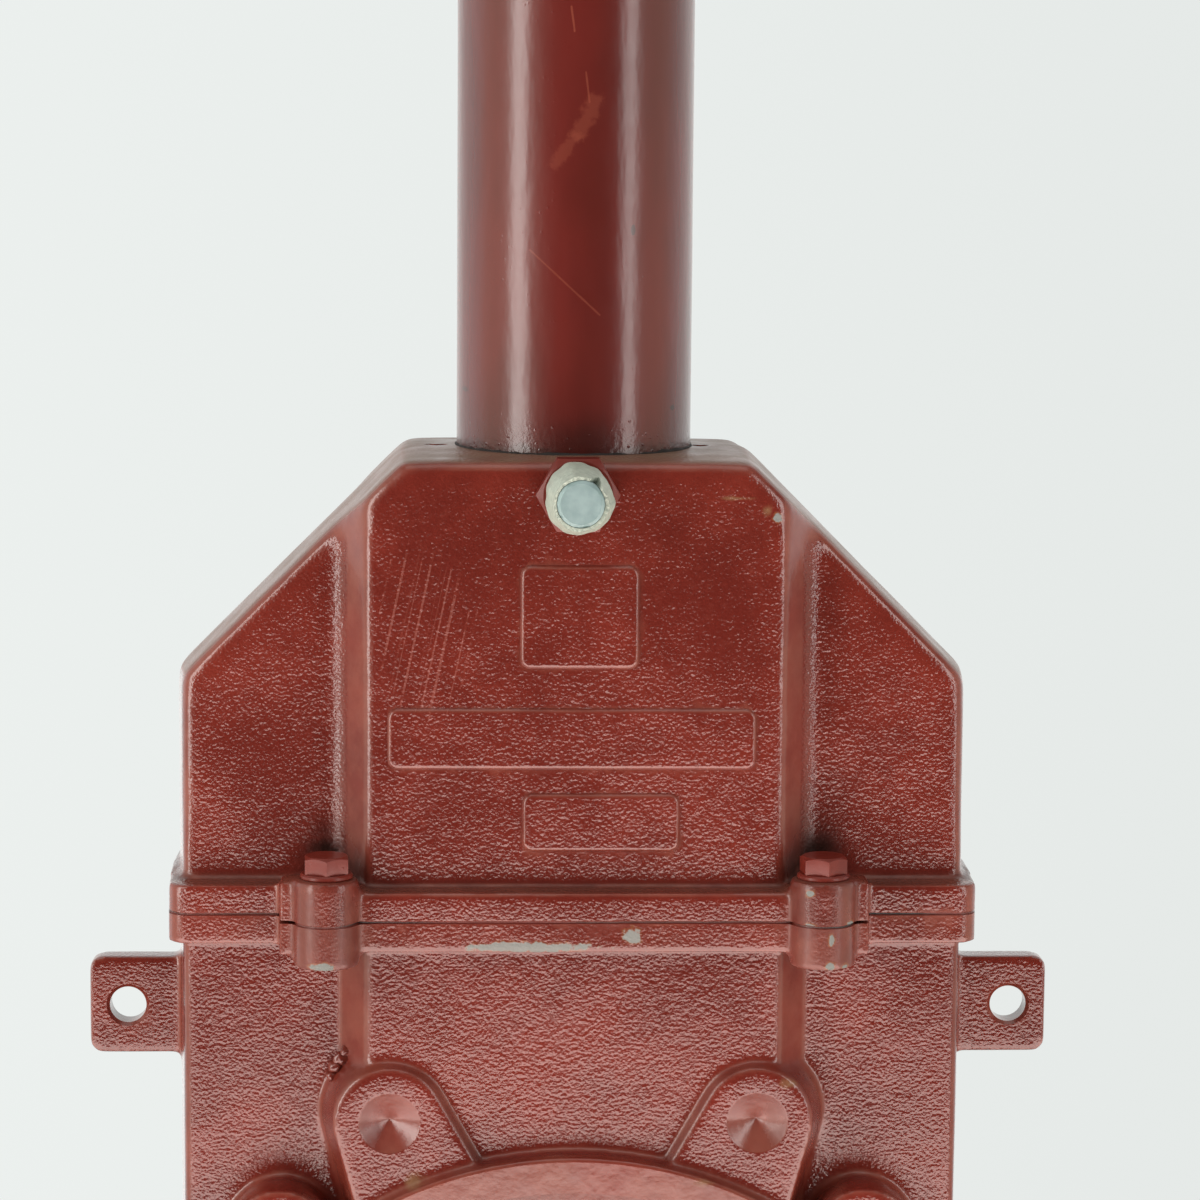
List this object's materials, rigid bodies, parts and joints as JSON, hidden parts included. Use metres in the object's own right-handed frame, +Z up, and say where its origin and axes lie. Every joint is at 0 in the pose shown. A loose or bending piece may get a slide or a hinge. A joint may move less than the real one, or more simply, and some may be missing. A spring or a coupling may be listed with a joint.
{
  "type": "tanker slide gate valve with hydraulic cylinder",
  "caption": "Cast slide gate valve with flanged round passage, stepped bonnet, side ears and an upright hydraulic cylinder, painted red.",
  "frame": {"origin": "centre of the bore on the rear flange face", "axes": "+Z up along the cylinder, +Y along the bore out of the rear flange, -Y the front with the locking screw"},
  "size_m": [0.3066, 0.137, 0.7886],
  "materials": {
    "cast_enamel": "gloss enamel over cast iron",
    "steel_enamel": "gloss enamel over steel",
    "gasket_fibre": "matt",
    "seat_rubber": "satin moulded",
    "gate_steel": "ground",
    "rod_chrome": "hard chrome",
    "turned_iron": "turned",
    "seal_rubber": "smooth",
    "plated_steel": "zinc plated",
    "wrap_tape": "torn tape"
  },
  "bodies": {
    "root": {"body_casting": "cast_enamel", "bonnet_casting": "cast_enamel", "parting_gasket": "gasket_fibre", "front_seat_ring": "seat_rubber", "rear_seat_ring": "seat_rubber", "gate_blade": "gate_steel", "gate_lock_nut": "plated_steel", "piston_nut": "plated_steel", "piston_rod": "rod_chrome", "rod_gland": "turned_iron", "cylinder_piston": "turned_iron", "gland_seal": "seal_rubber", "piston_ring": "seal_rubber", "cap_seal": "seal_rubber", "cylinder_tube": "steel_enamel", "cylinder_end_cap": "steel_enamel", "lower_port_boss": "steel_enamel", "upper_port_boss": "steel_enamel", "locking_screw": "plated_steel", "locking_nut": "steel_enamel", "flange_bolt_front_left": "steel_enamel", "flange_bolt_front_right": "steel_enamel", "flange_bolt_rear_left": "steel_enamel", "flange_bolt_rear_right": "steel_enamel", "flange_washer_front_left": "steel_enamel", "flange_washer_front_right": "steel_enamel", "flange_washer_rear_left": "steel_enamel", "flange_washer_rear_right": "steel_enamel", "screw_wrap": "wrap_tape"}
  },
  "joints": []
}
